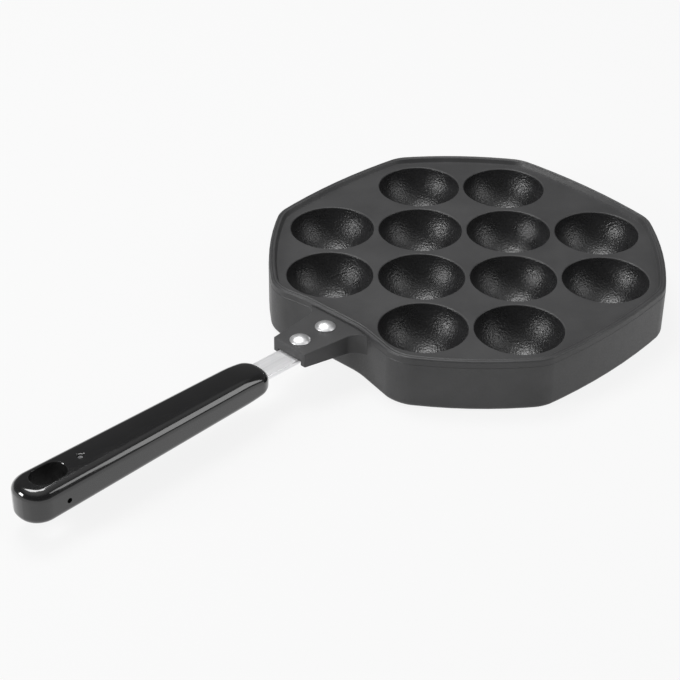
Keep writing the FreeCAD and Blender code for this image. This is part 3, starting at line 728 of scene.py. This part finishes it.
def holeWallPaintedShade():
    # the hanging hole's wall: darker and duller than the grip, painted shade inside the hole
    material, tree, shader = newMaterial("holeWallPaintedShade", Specular_IOR_Level=0.2)
    where = placed(tree)
    cloudy = noise(tree, where, scale=300, detail=3)
    grainy = noise(tree, where, scale=900, detail=3)
    # near-black greys below the grip's own: painted shade
    tone = tinted(tree, cloudy, (0.004, 0.004, 0.004), (0.008, 0.008, 0.008))
    tree.links.new(tone, shader.inputs["Base Color"])
    tree.links.new(spread(tree, grainy, low=0.45, high=0.62), shader.inputs["Roughness"])
    bumped(tree, shader, grainy, height=0.03, strength=0.6)
    return material


def finishGrip(piece):
    piece.data.materials.append(gripPhenolic())
    piece.data.materials.append(holeWallPaintedShade())
    middle = (grip["hangStart"] + grip["hangEnd"]) / 2 * mm
    reach = (grip["hangEnd"] - grip["hangStart"]) / 2 * mm
    margin = 0.2
    # the hole's walls take the darker finish with its painted shade
    for face in piece.data.polygons:
        spot = turnOut.inverted() @ face.center
        isBetweenEnds = abs(spot.x - middle) < reach + margin * mm
        isBetweenSides = abs(spot.y) < (grip["hangHalf"] + margin) * mm
        isWall = abs(face.normal.z) < 0.5
        if isBetweenEnds and isBetweenSides and isWall:
            face.material_index = 1


def coatPan(piece):
    piece.data.materials.append(panCoating())
    piece.data.materials.append(cavityCoatingWithPaintedShade())
    balls = [Vector((x, y, pan["ballCentre"])) * mm for x, y in places]
    below = (pan["plateTop"] - pan["lip"] * 0.5) * mm
    reach = (pan["ball"] + 0.25) * mm
    # faces inside the bowls take the darker coat with its painted shade
    for face in piece.data.polygons:
        spot = face.center
        if spot.z < below and any((spot - ball).length < reach for ball in balls):
            face.material_index = 1


def finishPiece(piece, node, angle=32):
    piece.data.materials.clear()
    smoothed(piece, angle)
    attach(piece, "root")
    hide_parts(node)


panPiece = makePan()
finishPiece(panPiece, "pan_body")
coatPan(panPiece)
gripPiece = makeGrip()
finishPiece(gripPiece, "handle_grip", 40)
finishGrip(gripPiece)
rivetFinish = rivetSteel()
for node in handle["rivets"]:
    head = makeRivet(node)
    finishPiece(head, node, 40)
    head.data.materials.append(rivetFinish)
for node, finish in (("handle_strap", brushedSteel()), ("grip_pin", pinSteel())):
    nodes[node].material_slots[0].material = finish
print("pieces and finishes in place")

# Camera at the photograph's place
view = {
    "location": (-0.04650, -0.72157, 0.44921),  # metres
    "turn": 0.995,  # this and the next two in degrees
    "lookDown": 33.427,
    "roll": 0.546,
    "lens": 93.79,
    "sensorWidth": 36,
}


def addCamera():
    bpy.ops.object.camera_add()
    camera = bpy.context.object
    camera.name = "photoCamera"
    camera.data.lens = view["lens"]
    camera.data.sensor_width = view["sensorWidth"]
    turn = Matrix.Rotation(math.radians(view["turn"]), 4, "Z")
    tilt = Matrix.Rotation(math.radians(90 - view["lookDown"]), 4, "X")
    roll = Matrix.Rotation(math.radians(view["roll"]), 4, "Z")
    camera.matrix_world = Matrix.Translation(view["location"]) @ turn @ tilt @ roll
    bpy.context.scene.camera = camera


# Soft boxes round the pan: place, size in metres and power in watts
lamps = {
    "leftSoftBox": ((-1.05, -0.50, 0.42), (0.36, 0.36), 7.0),
    "rightSoftBox": ((1.05, -0.20, 0.66), (0.50, 0.80), 3.8),
    "backSoftBox": ((-0.32, 0.36, 1.26), (0.60, 0.55), 10.0),
}
studio = {
    "aim": (-0.05, -0.05, 0.02),
    "horizon": 0.30,
    "middle": 0.13,
    "overhead": 0.7,
    "horizonEnds": 0.04,
    "middleSpan": (0.26, 0.72),
    "floorSize": 6,
    "floorWhite": 0.62,
    "floorGlow": 0.86,  # share of plain white in what the camera sees of the floor
}


def grey(level):
    return (level, level, level, 1)


def addLamps():
    aim = Vector(studio["aim"])
    for name, (place, size, power) in lamps.items():
        bpy.ops.object.light_add(type="AREA", location=place)
        lamp = bpy.context.object
        lamp.name = name
        lamp.data.shape = "RECTANGLE"
        lamp.data.size, lamp.data.size_y = size
        lamp.data.energy = power
        lamp.rotation_euler = (aim - Vector(place)).to_track_quat("-Z", "Y").to_euler()


def seenRays(tree, names):
    # one for the kinds of ray that are named, nought for others
    path = addNode(tree, "LightPath")
    total = path.outputs[names[0]]
    for name in names[1:]:
        add = addNode(tree, "Math", operation="MAXIMUM")
        tree.links.new(total, add.inputs[0])
        tree.links.new(path.outputs[name], add.inputs[1])
        total = add.outputs[0]
    return total


def paintWorld():
    # brighter at the horizon and overhead, dim between them; the camera sees plain white, while
    # reflections show the dim studio, so that the grip's top stays dark
    world = bpy.data.worlds.new("studioWorld")
    bpy.context.scene.world = world
    world.use_nodes = True
    tree = world.node_tree
    background = tree.nodes["Background"]
    direction = addNode(tree, "TexCoord")
    height = addNode(tree, "SeparateXYZ")
    ramp = addNode(tree, "ValToRGB")
    stops = ramp.color_ramp.elements
    stops[0].position, stops[1].position = studio["horizonEnds"], 1.0
    stops[0].color = grey(studio["horizon"])
    stops[1].color = grey(studio["overhead"])
    for spot in studio["middleSpan"]:
        stops.new(spot).color = grey(studio["middle"])
    tree.links.new(direction.outputs["Generated"], height.inputs["Vector"])
    tree.links.new(height.outputs["Z"], ramp.inputs["Fac"])
    mixed = addNode(tree, "Mix", data_type="RGBA")
    mixed.inputs["B"].default_value = grey(1)
    tree.links.new(seenRays(tree, ["Is Camera Ray", "Is Transmission Ray"]), mixed.inputs["Factor"])
    tree.links.new(ramp.outputs["Color"], mixed.inputs["A"])
    tree.links.new(mixed.outputs["Result"], background.inputs["Color"])


def addFloor():
    bpy.ops.mesh.primitive_plane_add(size=studio["floorSize"])
    floor = bpy.context.object
    floor.name = "studioFloor"
    material, tree, shader = newMaterial("floorWhite", Roughness=0.9, Specular_IOR_Level=0.0)
    shader.inputs["Base Color"].default_value = grey(studio["floorWhite"])
    glow = addNode(tree, "Emission", Strength=1.0)
    share = addNode(tree, "Math", operation="MULTIPLY")
    share.inputs[1].default_value = studio["floorGlow"]
    rays = seenRays(tree, ["Is Camera Ray", "Is Glossy Ray", "Is Transmission Ray"])
    tree.links.new(rays, share.inputs[0])
    mixed = addNode(tree, "MixShader")
    tree.links.new(share.outputs[0], mixed.inputs["Fac"])
    tree.links.new(shader.outputs["BSDF"], mixed.inputs[1])
    tree.links.new(glow.outputs["Emission"], mixed.inputs[2])
    tree.links.new(mixed.outputs["Shader"], tree.nodes["Material Output"].inputs["Surface"])
    floor.data.materials.append(material)


addCamera()
addLamps()
paintWorld()
addFloor()
bpy.context.scene.view_settings.view_transform = "Standard"
print("camera, lamps and floor in place")
